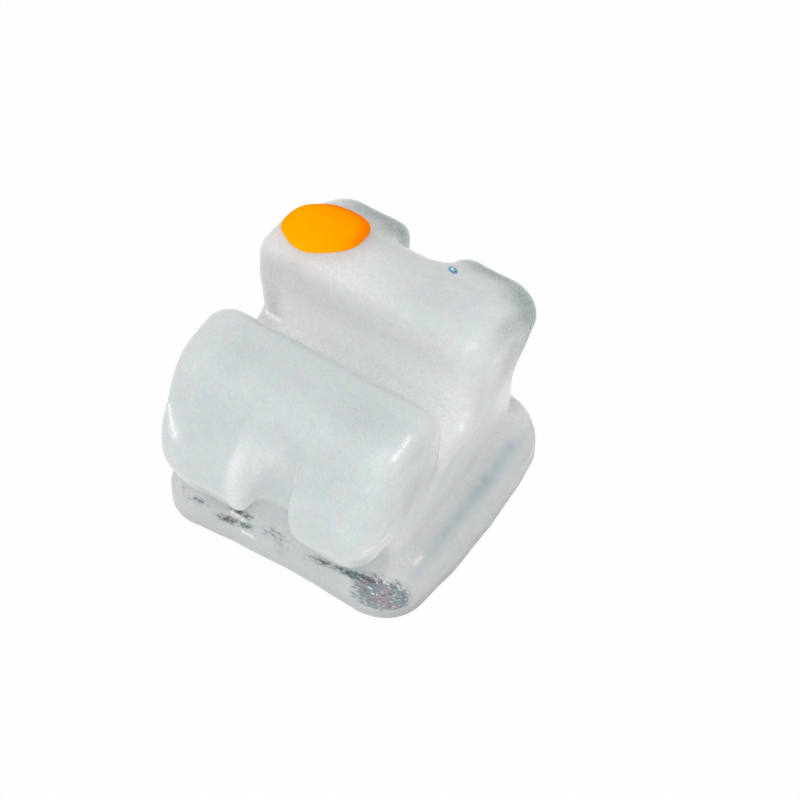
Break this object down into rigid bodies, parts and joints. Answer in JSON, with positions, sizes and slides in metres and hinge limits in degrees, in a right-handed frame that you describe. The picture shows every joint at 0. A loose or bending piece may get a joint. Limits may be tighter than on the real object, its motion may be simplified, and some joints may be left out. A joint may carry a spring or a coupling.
{
  "type": "orthodontic bracket",
  "caption": "Translucent ceramic twin bracket: archwire slot between two notched bars with tie wings, on an arched bonding base with a painted orientation dot.",
  "frame": {"origin": "under the middle of the bars, level with the lowest edges of the bonding base", "axes": "+X along the archwire slot, +Y towards the gingival bar with the dot, +Z away from the tooth"},
  "size_m": [0.0035, 0.0039, 0.0029],
  "materials": {
    "ceramic": "translucent polycrystalline ceramic, smooth satin to glossy",
    "dot_paint": "orange marking paint"
  },
  "bodies": {
    "root": {"bracket_body": "ceramic", "orientation_dot": "dot_paint"}
  },
  "joints": []
}
